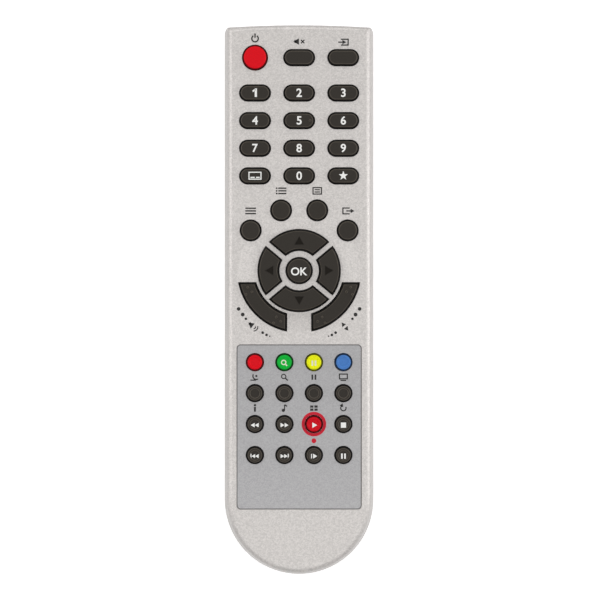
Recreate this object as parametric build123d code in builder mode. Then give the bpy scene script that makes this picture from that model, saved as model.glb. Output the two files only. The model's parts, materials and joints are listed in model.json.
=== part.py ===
from build123d import *
from math import atan2, degrees, pi, tan
import os

# Hand-held infrared remote control, lying on its back (millimetres).
# X runs across it, +Y points to the infrared end, +Z rises out of the key face.
# The origin is under the middle of the body, on the surface it lies on.
# The body is as long and as wide as its keys need, and as high as what lies in it:
# cover, cells, board and keys. Length, width and height follow from these.

# ------------------------------------------------------------ driving dimensions

# Body
side_margin = 4.5            # from the rockers' openings to the sides
side_lean = 1.4              # the key face is narrower than the body by this on each side
bevel = 1.8                  # radius round the key face
waist_drop = 6.5             # the sides lean in this far down from the key face
waist_radius = 20.0
back_radius = 8.0            # long edges of the back
front_crown = 0.9            # how far the front end bulges
front_back_radius = 5.0      # from the front end into the back
front_corner = 2.0           # corners of the front end, seen from above

# Housing halves
wall = 2.0
split_drop = 6.0             # the halves meet this far below the key face
lip_height = 1.5
lip_line = 1.1               # outer face of the lip, in from the body's surface
lip_gap = 0.15

# Key face
dish_radius = 21.5
dish_floor_radius = 15.3
dish_depth = 0.85
recess_depth = 0.8
inlay_thickness = 0.5
inlay_side_margin = 6.355    # edges of the plate, out from the middles of the keys in it
inlay_front_margin = 6.15
inlay_rear_margin = 19.1
inlay_corner = 1.3
inlay_gap = 0.15

# Keys
key_gap = 0.3
key_rise = 1.5               # tops above the key face
key_chamfer = 0.3
key_travel = 0.9
press_gap = 0.05             # left under a key that is fully down
flange_overhang = 0.4
flange_gap = 0.3
pill_length = 10.7
pill_width = 5.5
power_diameter = 8.6
round_diameter = 7.2
small_diameter = 5.9
ok_diameter = 9.1

# Key places, from the front end to the rear end
top_row_inset = 11.65        # top row, from the front end
number_row_drop = 12.5       # first number row, below the top row
number_row_spacing = 9.77
guide_drop = 12.19           # guide and text keys, below the last number row
menu_drop = 7.1              # menu and exit keys, below those
nav_drop = 14.2              # OK key, below those
panel_drop = 32.4            # first row of the lower panel, below the OK key
panel_row_spacing = 10.95
rear_margin = 42.8           # from the last row to the rear end
column_spacing = 15.6
guide_x = 6.4
menu_x = 17.15
panel_column_spacing = 10.43

# Direction keys and rockers, given by their openings in the face
nav_gap = 0.25
nav_overhang = 0.25
ok_ring_width = 2.15         # ring of the face left round the OK key
sector_depth = 7.75
spoke_width = 1.7            # bars of the face left between the direction keys
spoke_angle = 40.0
rocker_wall = 0.95           # strip of the face between direction keys and rockers
rocker_depth = 6.3
rocker_drop = 4.1            # rockers start this far below the OK key's centre
rocker_aside = 4.25          # and this far to each side of it
rocker_gap = 0.35
rocker_flange_gap = 1.3
rocker_axis_drop = 0.7       # their tilt axes lie this far below the inside of the face
rocker_pad_inset = 0.6       # ends of the round pad under them, in from the opening

# Circuit board and rubber sheet
board_thickness = 1.2
keypad_room = 3.4            # between the board and the inside of the key face
board_gap = 0.7              # inside the walls
board_front_inset = 9.5      # from the front end
board_rear_inset = 27.5      # from the rear end
sheet_thickness = 1.2
sheet_margin = 0.4           # sheet inside the board's edge
sheet_gap = 0.3              # round each key's flange

# Battery bay and cells
cell_diameter = 10.5
cell_length = 43.3           # without the raised contact
nub_diameter = 3.8
nub_length = 1.2
cell_gap = 0.35              # between the cells, and to the bay on each side
bay_length = 52.0
bay_rear_inset = 16.5        # from the rear end
bay_wall = 1.2
bay_floor_gap = 0.15         # cells above the cover
bay_headroom = 1.8           # cells below the board
plate_thickness = 0.4
plate_size = 8.6
contact_gap = 0.1
spring_wire = 0.6
spring_turns = 2
spring_radius = 3.6
spring_tip_radius = 2.3

# Battery cover
cover_width = 26.0
cover_thickness = 1.8
cover_reach = 5.0            # past the front of the battery bay
cover_wrap = 8.0             # height to which it wraps the rounded end
cover_gap = 0.15
tongue_reach = 1.0
tongue_thickness = 0.7
tongue_length = 46.0
groove_lip = 0.8             # housing left below the tongue
ledge_thickness = 1.2
ledge_reach = 3.3
grip_ridges = 5
grip_spacing = 2.6
grip_width = 1.3
grip_length = 15.0
grip_depth = 0.5
grip_inset = 12.0            # middle of the grip, from the front of the cover

# Screw
screw_inset = 10.5           # from the rear end
screw_diameter = 2.2
screw_head = 4.6
screw_head_height = 1.7
screw_length = 7.0
screw_gap = 0.1
boss_diameter = 6.0
shelf_thickness = 2.0

# Infrared end
led_drop = 3.0               # its middle, below the board
led_diameter = 5.0
led_rim_diameter = 5.6
led_rim_thickness = 1.0
led_length = 8.6
led_inset = 4.3              # tip of the lens, from the front end
lead_size = 0.5
lead_spacing = 2.54
window_width = 16.0
window_drop = 3.0            # lower edge, below the middle of the light
window_gap = 0.12
window_flange = 1.0
window_depth = 3.4           # from the front of the body to the back of the flange
flange_depth = 1.2

# Hold-down bars in the top housing, posts under the board
bar_width = 1.0
bar_inset = 6.0              # their ends, in from the board's edge
post_size = 3.0
post_inset = 1.5             # in from the board's edge

# Parts soldered under the board: places from its middle line and front edge, then sizes
chip_x = -4.0
chip_inset = 30.0
resonator_x = 9.0
resonator_inset = 30.0
capacitor_x = 12.0
capacitor_inset = 12.0
transistor_x = -12.0
transistor_inset = 10.0
resistors_inset = 48.0
chip_length = 12.8
chip_width = 7.5
chip_height = 2.3
chip_standoff = 0.15
chip_legs = 10               # on each side
leg_spacing = 1.27
leg_width = 0.45
leg_thickness = 0.3
leg_reach = 1.4
resonator_length = 7.5
resonator_width = 3.2
resonator_height = 5.5
capacitor_diameter = 5.0
capacitor_height = 7.0
transistor_diameter = 4.6
transistor_flat = 1.3        # flat side, in from the middle
transistor_height = 4.6
transistor_standoff = 2.0
resistor_length = 3.2
resistor_width = 1.6
resistor_height = 0.6
resistor_column_spacing = 6.0
resistor_row_spacing = 5.0

# ---------------------------------------------------------------- derived places

number_rows = [
    ["digit_1_key", "digit_2_key", "digit_3_key"],
    ["digit_4_key", "digit_5_key", "digit_6_key"],
    ["digit_7_key", "digit_8_key", "digit_9_key"],
    ["subtitle_key", "digit_0_key", "favourites_key"],
]
panel_rows = [
    ["red_key", "green_key", "yellow_key", "blue_key"],
    ["info_key", "audio_key", "mosaic_key", "recall_key"],
    ["rewind_key", "forward_key", "play_key", "stop_key"],
    ["previous_key", "next_key", "slow_key", "pause_key"],
]
number_rows_length = (len(number_rows) - 1) * number_row_spacing
panel_rows_length = (len(panel_rows) - 1) * panel_row_spacing

sector_inner = ok_diameter / 2 + key_gap + ok_ring_width
sector_outer = sector_inner + sector_depth
rocker_inner = sector_outer + rocker_wall
rocker_outer = rocker_inner + rocker_depth
rocker_middle = (rocker_inner + rocker_outer) / 2

upper_length = top_row_inset + number_row_drop + number_rows_length + guide_drop + menu_drop
length = upper_length + nav_drop + panel_drop + panel_rows_length + rear_margin
width = 2 * (rocker_outer + side_margin)
face_width = width - 2 * side_lean           # out to where its bevel would meet the sides

ledge_bottom = cover_thickness + cover_gap
cell_z = ledge_bottom + bay_floor_gap + cell_diameter / 2
board_bottom = cell_z + cell_diameter / 2 + bay_headroom
board_top = board_bottom + board_thickness
underside = board_top + keypad_room          # of the key face
height = underside + wall
waist_height = height - waist_drop
split_height = height - split_drop
led_height = board_bottom - led_drop
window_bottom = led_height - window_drop

front_y = length / 2
rear_y = -length / 2
top_row_y = front_y - top_row_inset
number_row_y = top_row_y - number_row_drop   # the first of them
guide_y = number_row_y - number_rows_length - guide_drop
menu_y = guide_y - menu_drop
nav_y = menu_y - nav_drop
panel_row_y = nav_y - panel_drop             # the first of them
panel_row_width = (len(panel_rows[0]) - 1) * panel_column_spacing
inlay_width = panel_row_width + 2 * inlay_side_margin
inlay_length = inlay_front_margin + panel_rows_length + inlay_rear_margin
inlay_y = panel_row_y + inlay_front_margin - inlay_length / 2
end_y = rear_y + width / 2                   # centre of the rounded end
crown_radius = (front_crown**2 + (width / 2) ** 2) / (2 * front_crown)
key_top = height + key_rise
sheet_top = board_top + sheet_thickness
key_foot = board_top + key_travel + press_gap
flange_top = underside - flange_gap

rocker_flange_top = underside - rocker_flange_gap
rocker_axis_z = underside - rocker_axis_drop

board_width = width - 2 * (wall + board_gap)
board_front = front_y - board_front_inset
board_rear = rear_y + board_rear_inset
led_front = front_y - led_inset
screw_y = rear_y + screw_inset
bay_rear = rear_y + bay_rear_inset
bay_front = bay_rear + bay_length
cover_front = bay_front + cover_reach
bay_half = cell_diameter + 1.5 * cell_gap    # half the bay's width
cell_x = (cell_diameter + cell_gap) / 2
cover_slot = cover_width / 2 + cover_gap     # half the width of its slot
shelf_bottom = cover_wrap + cover_gap
shelf_top = shelf_bottom + shelf_thickness

pill_places = {"mute_key": (0, top_row_y), "source_key": (column_spacing, top_row_y)}
for row, names in enumerate(number_rows):
    for column, name in enumerate(names):
        y = number_row_y - row * number_row_spacing
        pill_places[name] = ((column - 1) * column_spacing, y)

# Round keys: place and diameter
round_keys = {
    "power_key": (-column_spacing, top_row_y, power_diameter),
    "guide_key": (-guide_x, guide_y, round_diameter),
    "text_key": (guide_x, guide_y, round_diameter),
    "menu_key": (-menu_x, menu_y, round_diameter),
    "exit_key": (menu_x, menu_y, round_diameter),
    "ok_key": (0, nav_y, ok_diameter),
}
panel_places = []
for row, names in enumerate(panel_rows):
    for column, name in enumerate(names):
        x = column * panel_column_spacing - panel_row_width / 2
        place = (x, panel_row_y - row * panel_row_spacing)
        panel_places.append(place)
        round_keys[name] = (*place, small_diameter)

os.makedirs("parts", exist_ok=True)


def save(piece, label):
    """Name a finished piece and write it."""
    piece.part.label = label
    export_step(piece.part, f"parts/{label}.step")


# ------------------------------------------------------------- form of the body


def side_section(inset):
    """Cross-section of the body, moved in by inset all round."""
    lean = atan2(side_lean, waist_drop)
    half = width / 2 - inset
    with BuildSketch() as section:
        with BuildLine():
            side = FilletPolyline(
                (0, inset),
                (half, inset),
                (half, waist_height - inset * tan(lean / 2)),
                (face_width / 2 - inset * tan(pi / 4 - lean / 2), height - inset),
                (0, height - inset),
                radius=[back_radius - inset, waist_radius - inset, max(bevel - inset, wall / 8)],
            )
            Line(side @ 1, side @ 0)
        make_face()
        mirror(about=Plane.YZ)
    return section.sketch


def body_form(inset=0.0):
    """Solid inside the body's surface, moved in by inset all round."""
    section = side_section(inset)
    front = front_y - inset
    with BuildPart() as form:
        with BuildSketch(Plane.XZ.offset(-end_y)):
            add(section)
        extrude(amount=-(front_y - end_y))
        with BuildSketch(Plane.XZ.offset(-end_y)):
            add(section)
            split(bisect_by=Plane.YZ)
        revolve(axis=Axis((0, end_y, 0), (0, 0, 1)), revolution_arc=-180)
        # The crowned front end: what lies outside its profile is turned away
        # about the centre of the crown.
        with BuildSketch(Plane.YZ):
            with Locations((front, height / 2)):
                Rectangle(3 * height, 2 * height)
            with BuildLine():
                nose = FilletPolyline(
                    (front - 2 * height, inset),
                    (front, inset),
                    (front, height - inset),
                    (front - 2 * height, height - inset),
                    radius=[max(front_back_radius - inset, wall / 4), max(bevel - inset, wall / 8)],
                )
                Line(nose @ 1, nose @ 0)
            make_face(mode=Mode.SUBTRACT)
        revolve(axis=Axis((0, front_y - crown_radius, 0), (0, 0, 1)), mode=Mode.SUBTRACT)
    return form.part


with BuildPart() as outer_form:
    add(body_form())
    # Rounded corners of the front end
    with BuildSketch() as plan:
        shoulder = (width / 2, front_y - front_crown)
        with BuildLine():
            ThreePointArc((-shoulder[0], shoulder[1]), (0, front_y), shoulder)
            Polyline(
                shoulder,
                (shoulder[0], rear_y),
                (-shoulder[0], rear_y),
                (-shoulder[0], shoulder[1]),
            )
        make_face()
        fillet(plan.vertices().group_by(Axis.Y)[-1], front_corner)
    extrude(amount=height, mode=Mode.INTERSECT)

inner_form = body_form(wall)

# The hollow body, which the two halves are cut from
with BuildPart() as body_shell:
    add(outer_form.part)
    add(inner_form, mode=Mode.SUBTRACT)

# --------------------------------------------------------------- key outlines


def pill(place, grow=0.0):
    """Outline of a pill-shaped key, larger by grow on every side."""
    with BuildSketch() as outline:
        with Locations(place):
            SlotOverall(pill_length + 2 * grow, pill_width + 2 * grow)
    return outline.sketch


def disc(place, diameter, grow=0.0):
    """Outline of a round key, larger by grow on every side."""
    with BuildSketch() as outline:
        with Locations(place):
            Circle(diameter / 2 + grow)
    return outline.sketch


def block(place, size_x, size_y, grow=0.0):
    """Rectangular outline, larger by grow on every side."""
    with BuildSketch() as outline:
        with Locations(place):
            Rectangle(size_x + 2 * grow, size_y + 2 * grow)
    return outline.sketch


def sectors(grow=0.0):
    """The four direction keys' openings: a ring cut by two crossed spokes."""
    with BuildSketch() as ring:
        with Locations((0, nav_y)):
            Circle(sector_outer + grow)
            Circle(sector_inner - grow, mode=Mode.SUBTRACT)
            for angle in (spoke_angle, -spoke_angle):
                Rectangle(
                    3 * sector_outer, spoke_width - 2 * grow, rotation=angle, mode=Mode.SUBTRACT
                )
    return ring.sketch


def rockers(grow=0.0):
    """The two rockers' openings: arcs outside the direction keys, lower left and right."""
    with BuildSketch() as arcs:
        with Locations((0, nav_y)):
            Circle(rocker_outer + grow)
            Circle(rocker_inner - grow, mode=Mode.SUBTRACT)
            Rectangle(2 * (rocker_aside - grow), 3 * rocker_outer, mode=Mode.SUBTRACT)
        with Locations((0, nav_y - rocker_drop + grow)):
            Rectangle(
                3 * rocker_outer,
                2 * rocker_outer,
                align=(Align.CENTER, Align.MIN),
                mode=Mode.SUBTRACT,
            )
    return arcs.sketch


with BuildSketch() as panel_holes:
    for place in panel_places:
        add(disc(place, small_diameter, key_gap))

with BuildSketch() as key_holes:
    for place in pill_places.values():
        add(pill(place, key_gap))
    for x, y, diameter in round_keys.values():
        add(disc((x, y), diameter, key_gap))
    add(sectors())
    add(rockers())

# ----------------------------------------------------------------- top housing

with BuildPart() as rebate:
    add(body_form(lip_line - lip_gap))
    split(bisect_by=Plane.XY.offset(split_height + lip_height + lip_gap), keep=Keep.BOTTOM)

# Bars across the inside, between rows of keys, that hold the rubber sheet down
last_number_row_y = number_row_y - number_rows_length
last_panel_row_y = panel_row_y - panel_rows_length
hold_down_bars = [
    top_row_y - number_row_drop / 2,
    (number_row_y + last_number_row_y) / 2,
    last_number_row_y - guide_drop / 2,
    panel_row_y - panel_row_spacing / 2,
    last_panel_row_y + panel_row_spacing / 2,
]
bar_length = board_width - 2 * bar_inset

with BuildPart() as top_housing:
    add(body_shell.part)
    split(bisect_by=Plane.XY.offset(split_height), keep=Keep.TOP)
    add(rebate.part, mode=Mode.SUBTRACT)
    # Shallow dish round the direction keys
    with Locations((0, nav_y, height)):
        Cone(
            bottom_radius=dish_floor_radius,
            top_radius=dish_radius,
            height=dish_depth,
            align=(Align.CENTER, Align.CENTER, Align.MAX),
            mode=Mode.SUBTRACT,
        )
    # Recess for the inlay plate
    with BuildSketch(Plane.XY.offset(height)):
        with Locations((0, inlay_y)):
            RectangleRounded(
                inlay_width + 2 * inlay_gap, inlay_length + 2 * inlay_gap, inlay_corner + inlay_gap
            )
    extrude(amount=-recess_depth, mode=Mode.SUBTRACT)
    # Key openings
    with BuildSketch(Plane.XY.offset(height)):
        add(key_holes.sketch)
    extrude(amount=-2 * wall, mode=Mode.SUBTRACT)
    # Bars that hold the sheet down
    with BuildSketch(Plane.XY.offset(sheet_top)):
        with Locations(*[(0, y) for y in hold_down_bars]):
            Rectangle(bar_length, bar_width)
    extrude(amount=underside - sheet_top)
    # Screw boss, reaching down to the shelf of the bottom housing
    with BuildSketch(Plane.XY.offset(shelf_top)):
        with Locations((0, screw_y)):
            Circle(boss_diameter / 2)
            Circle(screw_diameter / 2 + press_gap, mode=Mode.SUBTRACT)
    extrude(amount=underside - shelf_top)
save(top_housing, "top_housing")

with BuildPart() as inlay_plate:
    with BuildSketch(Plane.XY.offset(height - recess_depth)):
        with Locations((0, inlay_y)):
            RectangleRounded(inlay_width, inlay_length, inlay_corner)
        add(panel_holes.sketch, mode=Mode.SUBTRACT)
    extrude(amount=inlay_thickness)
save(inlay_plate, "inlay_plate")

# -------------------------------------------------------------- bottom housing

with BuildPart() as lip:
    add(body_form(lip_line))
    add(inner_form, mode=Mode.SUBTRACT)
    split(bisect_by=Plane.XY.offset(split_height + lip_height), keep=Keep.BOTTOM)


def span(x_half, y_low, y_high):
    """Rectangle centred on the middle line, from y_low to y_high."""
    with Locations((0, (y_low + y_high) / 2)):
        Rectangle(2 * x_half, y_high - y_low)


chamber_half = cover_slot + bay_wall         # outside of the chamber behind the cover's wrap
bay_outer = bay_half + bay_wall
window_half = window_width / 2
window_inner = front_y - window_depth        # back of the window's flange

with BuildPart() as battery_bay:
    # Ledge over the edges of the cover
    with BuildSketch():
        span(bay_half + ledge_reach + bay_wall, rear_y, cover_front + bay_wall)
    extrude(amount=ledge_bottom + ledge_thickness)
    # Bay for the cells, up to the circuit board
    with BuildSketch():
        span(bay_outer, bay_rear - bay_wall, bay_front + bay_wall)
    extrude(amount=board_bottom)
    # Chamber and shelf at the rounded end, where the screw sits
    with BuildSketch():
        span(chamber_half, rear_y, bay_rear)
    extrude(amount=shelf_top)
    add(outer_form.part, mode=Mode.INTERSECT)

# Posts stand beside rows of keys: the top row, the last number row, the direction keys
post_x = (board_width - post_size) / 2 - post_inset
post_rows = [top_row_y, last_number_row_y, nav_y]
post_places = [(side * post_x, y) for side in (-1, 1) for y in post_rows]

with BuildPart() as bottom_housing:
    add(body_shell.part)
    split(bisect_by=Plane.XY.offset(split_height), keep=Keep.BOTTOM)
    add(lip.part)
    add(battery_bay.part)
    # Posts under the front half of the board
    with BuildSketch(Plane.XY.offset(wall / 2)):
        with Locations(*post_places):
            Rectangle(post_size, post_size)
    extrude(amount=board_bottom - wall / 2)
    # Room for the cells
    with BuildSketch():
        span(bay_half, bay_rear, bay_front)
    extrude(amount=cell_z + cell_diameter / 2 + cell_gap, mode=Mode.SUBTRACT)
    # Slot for the cover, and grooves for its tongues
    with BuildSketch():
        span(cover_slot, rear_y, cover_front + cover_gap)
    extrude(amount=ledge_bottom, mode=Mode.SUBTRACT)
    with BuildSketch(Plane.XY.offset(groove_lip)):
        span(cover_slot + tongue_reach, rear_y, cover_front + cover_gap)
    extrude(amount=ledge_bottom - groove_lip, mode=Mode.SUBTRACT)
    # Notch that the cover's wrap fills
    with BuildSketch():
        span(cover_slot, rear_y, bay_rear - bay_wall)
    extrude(amount=shelf_bottom, mode=Mode.SUBTRACT)
    # Hole for the screw
    with Locations((0, screw_y, shelf_top)):
        Hole(radius=screw_diameter / 2 + screw_gap, depth=shelf_thickness)
    # Window slot, open to the top so that the window drops in
    with BuildSketch(Plane.XY.offset(window_bottom)):
        span(window_half, window_inner, front_y)
    extrude(amount=height, mode=Mode.SUBTRACT)
save(bottom_housing, "bottom_housing")

with BuildPart() as ir_window:
    add(outer_form.part)
    with BuildSketch(Plane.XY.offset(window_bottom + window_gap)):
        span(window_half - window_gap, window_inner, front_y)
    extrude(amount=split_height - window_gap - window_bottom - window_gap, mode=Mode.INTERSECT)
    # Flange behind the wall
    with BuildSketch(Plane.XY.offset(window_bottom - window_flange)):
        span(window_half + window_flange, window_inner, window_inner + flange_depth)
    extrude(amount=split_height - window_bottom + window_flange - window_gap)
save(ir_window, "ir_window")

# --------------------------------------------------------------- battery cover

with BuildPart() as battery_cover:
    add(outer_form.part)
    add(body_form(cover_thickness), mode=Mode.SUBTRACT)
    with BuildSketch():
        span(cover_width / 2, rear_y, cover_front)
    extrude(amount=cover_wrap, mode=Mode.INTERSECT)
    # Tongues along both edges
    with BuildSketch(Plane.XY.offset(groove_lip + cover_gap)):
        span(cover_width / 2 + tongue_reach - cover_gap, cover_front - tongue_length, cover_front)
    extrude(amount=tongue_thickness)
    # Grip grooves for the thumb
    with BuildSketch():
        with Locations((0, cover_front - grip_inset)):
            with GridLocations(0, grip_spacing, 1, grip_ridges):
                Rectangle(grip_length, grip_width)
    extrude(amount=grip_depth, mode=Mode.SUBTRACT)
save(battery_cover, "battery_cover")

with BuildPart() as case_screw:
    with BuildSketch(Plane.XY.offset(shelf_bottom)):
        with Locations((0, screw_y)):
            Circle(screw_diameter / 2)
    extrude(amount=screw_length)
    with BuildSketch(Plane.XY.offset(shelf_bottom)) as head:
        with Locations((0, screw_y)):
            Circle(screw_head / 2)
    extrude(amount=-screw_head_height)
    chamfer(case_screw.faces().sort_by(Axis.Z)[0].edges(), screw_head_height / 3)
    # Cross recess
    with BuildSketch(Plane.XY.offset(shelf_bottom - screw_head_height)):
        with Locations((0, screw_y)):
            Rectangle(screw_head / 2, screw_head / 8)
            Rectangle(screw_head / 8, screw_head / 2)
    extrude(amount=screw_head_height / 2, mode=Mode.SUBTRACT)
save(case_screw, "case_screw")

# ------------------------------------------------------- rubber sheet and board

sheet_holes = flange_overhang + key_gap + sheet_gap
nav_holes = nav_overhang + sheet_gap

with BuildPart() as keypad_sheet:
    with BuildSketch(Plane.XY.offset(board_top)):
        span(board_width / 2 - sheet_margin, board_rear + sheet_margin, board_front - sheet_margin)
        for place in pill_places.values():
            add(block(place, pill_length, pill_width, sheet_holes), mode=Mode.SUBTRACT)
        for x, y, diameter in round_keys.values():
            add(block((x, y), diameter, diameter, sheet_holes), mode=Mode.SUBTRACT)
        add(disc((0, nav_y), 2 * sector_outer, nav_holes), mode=Mode.SUBTRACT)
        add(rockers(nav_holes), mode=Mode.SUBTRACT)
    extrude(amount=sheet_thickness)
save(keypad_sheet, "keypad_sheet")

with BuildPart() as circuit_board:
    with BuildSketch(Plane.XY.offset(board_bottom)):
        span(board_width / 2, board_rear, board_front)
    extrude(amount=board_thickness)
save(circuit_board, "circuit_board")

# ----------------------------------------------------------------------- keys


def moulded_key(label, body, flange):
    """A key that presses straight down: its body in the face, a flange underneath."""
    with BuildPart() as key:
        with BuildSketch(Plane.XY.offset(key_foot)):
            add(flange)
        extrude(amount=flange_top - key_foot)
        with BuildSketch(Plane.XY.offset(flange_top)):
            add(body)
        extrude(amount=key_top - flange_top)
        chamfer(key.faces().sort_by(Axis.Z)[-1].edges(), key_chamfer)
    save(key, label)


flange_grow = key_gap + flange_overhang
for name, place in pill_places.items():
    moulded_key(name, pill(place), block(place, pill_length, pill_width, flange_grow))
for name, (x, y, diameter) in round_keys.items():
    if name == "ok_key":
        flange = disc((x, y), diameter, flange_grow)
    else:
        flange = block((x, y), diameter, diameter, flange_grow)
    moulded_key(name, disc((x, y), diameter), flange)

sector_bodies = sectors(-nav_gap).faces()
sector_flanges = sectors(nav_overhang).faces()
for name, axis, position in [
    ("up_key", Axis.Y, -1),
    ("down_key", Axis.Y, 0),
    ("left_key", Axis.X, 0),
    ("right_key", Axis.X, -1),
]:
    moulded_key(name, sector_bodies.sort_by(axis)[position], sector_flanges.sort_by(axis)[position])

# The rockers' flanges stop short of the direction keys' flanges
with BuildSketch() as rocker_feet:
    add(rockers(nav_overhang))
    add(disc((0, nav_y), 2 * rocker_inner), mode=Mode.SUBTRACT)

rocker_bodies = rockers(-rocker_gap).faces()
rocker_flanges = rocker_feet.faces()
for name, position, angle in [("volume_rocker", 0, 225), ("channel_rocker", -1, 315)]:
    with BuildPart() as rocker:
        with BuildSketch(Plane.XY.offset(key_foot)):
            add(rocker_flanges.sort_by(Axis.X)[position])
        extrude(amount=rocker_flange_top - key_foot)
        with BuildSketch(Plane.XY.offset(rocker_flange_top)):
            add(rocker_bodies.sort_by(Axis.X)[position])
        extrude(amount=key_top - rocker_flange_top)
        chamfer(rocker.faces().sort_by(Axis.Z)[-1].edges(), key_chamfer)
        # Round pad on which it tilts, centred on the tilt axis, which points at the OK key
        with Locations((0, nav_y, rocker_axis_z)):
            with PolarLocations(rocker_middle, 1, start_angle=angle):
                Cylinder(
                    radius=rocker_axis_z - board_top - press_gap,
                    height=rocker_depth - 2 * rocker_pad_inset,
                    rotation=(0, 90, 0),
                )
    save(rocker, name)

# ----------------------------------------------------------- cells and contacts

front_plate = bay_front - plate_thickness
rear_plate = bay_rear + plate_thickness


def cell(label, x, heading):
    """An AAA cell in the bay; heading is 1 where its raised contact points to the front."""
    tip = front_plate - contact_gap if heading > 0 else rear_plate + contact_gap
    shoulder = tip - heading * nub_length
    tail = shoulder - heading * cell_length
    with BuildPart() as battery:
        with BuildSketch(Plane.XY.offset(cell_z)):
            with BuildLine():
                Polyline(
                    (x, tail),
                    (x + cell_diameter / 2, tail),
                    (x + cell_diameter / 2, shoulder),
                    (x + nub_diameter / 2, shoulder),
                    (x + nub_diameter / 2, tip),
                    (x, tip),
                    close=True,
                )
            make_face()
        revolve(axis=Axis((x, 0, cell_z), (0, 1, 0)))
    save(battery, label)


cell("battery_cell_left", -cell_x, 1)
cell("battery_cell_right", cell_x, -1)

spring_room = bay_length - 2 * plate_thickness - nub_length - cell_length - 2 * contact_gap
spring_height = spring_room - spring_wire


def spring(x, foot, heading):
    """A conical coil from its plate at y = foot to the flat end of a cell."""
    lean = atan2(spring_radius - spring_tip_radius, spring_height)
    with BuildPart() as coil:
        with BuildLine() as path:
            Helix(
                pitch=spring_height / spring_turns,
                height=spring_height,
                radius=spring_radius,
                center=(x, foot + heading * spring_wire / 2, cell_z),
                direction=(0, heading, 0),
                cone_angle=-degrees(lean),
            )
        with BuildSketch(Plane(origin=path.line @ 0, z_dir=path.line % 0)):
            Rectangle(spring_wire, spring_wire)
        sweep(path=path.line, is_frenet=True)
    return coil.part


with BuildPart() as negative_springs:
    add(spring(-cell_x, rear_plate, 1))
    add(spring(cell_x, front_plate, -1))
save(negative_springs, "negative_springs")

with BuildPart() as contact_plates:
    # One plate for each cell at the front, one that joins both cells at the rear
    with BuildSketch(Plane.XZ.offset(-bay_front)):
        with Locations((-cell_x, cell_z), (cell_x, cell_z)):
            Rectangle(plate_size, plate_size)
    extrude(amount=plate_thickness)
    with BuildSketch(Plane.XZ.offset(-bay_rear)):
        with Locations((0, cell_z)):
            Rectangle(2 * cell_x + plate_size, plate_size)
    extrude(amount=-plate_thickness)
save(contact_plates, "contact_plates")

# ------------------------------------------------------------------ electronics

with BuildPart() as infrared_led:
    with BuildSketch(Plane.XY.offset(led_height)):
        led_tail = led_front - led_length
        with BuildLine():
            start = (0, led_tail)
            Polyline(
                start,
                (led_rim_diameter / 2, led_tail),
                (led_rim_diameter / 2, led_tail + led_rim_thickness),
                (led_diameter / 2, led_tail + led_rim_thickness),
                (led_diameter / 2, led_front - led_diameter / 2),
            )
            RadiusArc(
                (led_diameter / 2, led_front - led_diameter / 2), (0, led_front), -led_diameter / 2
            )
            Line((0, led_front), start)
        make_face()
    revolve(axis=Axis((0, 0, led_height), (0, 1, 0)))
    # Two leads, back and up to the board
    with BuildSketch(Plane.XY.offset(led_height - lead_size / 2)):
        with Locations((-lead_spacing / 2, led_tail), (lead_spacing / 2, led_tail)):
            Rectangle(lead_size, 3 * lead_size, align=(Align.CENTER, Align.MAX))
    extrude(amount=lead_size)
    with BuildSketch(Plane.XY.offset(led_height)):
        with Locations(
            (-lead_spacing / 2, led_tail - 2 * lead_size), (lead_spacing / 2, led_tail - 2 * lead_size)
        ):
            Rectangle(lead_size, lead_size, align=(Align.CENTER, Align.MAX))
    extrude(amount=board_bottom - led_height)
save(infrared_led, "infrared_led")

with BuildPart() as control_chip:
    with BuildSketch(Plane.XY.offset(board_bottom - chip_standoff)):
        with Locations((chip_x, board_front - chip_inset)):
            Rectangle(chip_width, chip_length)
    extrude(amount=-chip_height)
    with BuildSketch(Plane.XY.offset(board_bottom)):
        with Locations((chip_x, board_front - chip_inset)):
            with GridLocations(0, leg_spacing, 1, chip_legs):
                Rectangle(chip_width + 2 * leg_reach, leg_width)
    extrude(amount=-leg_thickness)
save(control_chip, "control_chip")

with BuildPart() as ceramic_resonator:
    with BuildSketch(Plane.XY.offset(board_bottom)):
        with Locations((resonator_x, board_front - resonator_inset)):
            SlotOverall(resonator_length, resonator_width)
    extrude(amount=-resonator_height)
save(ceramic_resonator, "ceramic_resonator")

with BuildPart() as smoothing_capacitor:
    with BuildSketch(Plane.XY.offset(board_bottom)):
        with Locations((capacitor_x, board_front - capacitor_inset)):
            Circle(capacitor_diameter / 2)
    extrude(amount=-capacitor_height)
save(smoothing_capacitor, "smoothing_capacitor")

with BuildPart() as driver_transistor:
    # D-shaped body on three legs
    with BuildSketch(Plane.XY.offset(board_bottom - transistor_standoff)):
        with Locations((transistor_x, board_front - transistor_inset)):
            Circle(transistor_diameter / 2)
            with Locations((0, -transistor_flat)):
                Rectangle(
                    transistor_diameter,
                    transistor_diameter,
                    align=(Align.CENTER, Align.MAX),
                    mode=Mode.SUBTRACT,
                )
    extrude(amount=-transistor_height)
    with BuildSketch(Plane.XY.offset(board_bottom)):
        with Locations((transistor_x, board_front - transistor_inset)):
            with GridLocations(leg_spacing, 0, 3, 1):
                Rectangle(leg_width, leg_width)
    extrude(amount=-transistor_standoff - transistor_height / 2)
save(driver_transistor, "driver_transistor")

with BuildPart() as resistors:
    with BuildSketch(Plane.XY.offset(board_bottom)):
        with Locations((0, board_front - resistors_inset)):
            with GridLocations(resistor_column_spacing, resistor_row_spacing, 2, 3):
                Rectangle(resistor_length, resistor_width)
    extrude(amount=-resistor_height)
save(resistors, "resistors")
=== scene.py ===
# %% [markdown]
# # An infrared remote control: its finishes, keys and prints
# The fixed frame holds every part of the handset at its real size: two housing halves,
# a plate let into the key face, forty-two keys, a battery cover and what lies inside.
# This lesson gives those parts their finishes. It also rebuilds the keys with soft
# rounded rims, and adds what is printed or moulded on them. Everything is in metres.

# %% Load the fixed frame
import json
from math import atan2, cos, degrees, pi, radians, sin, sqrt

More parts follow.
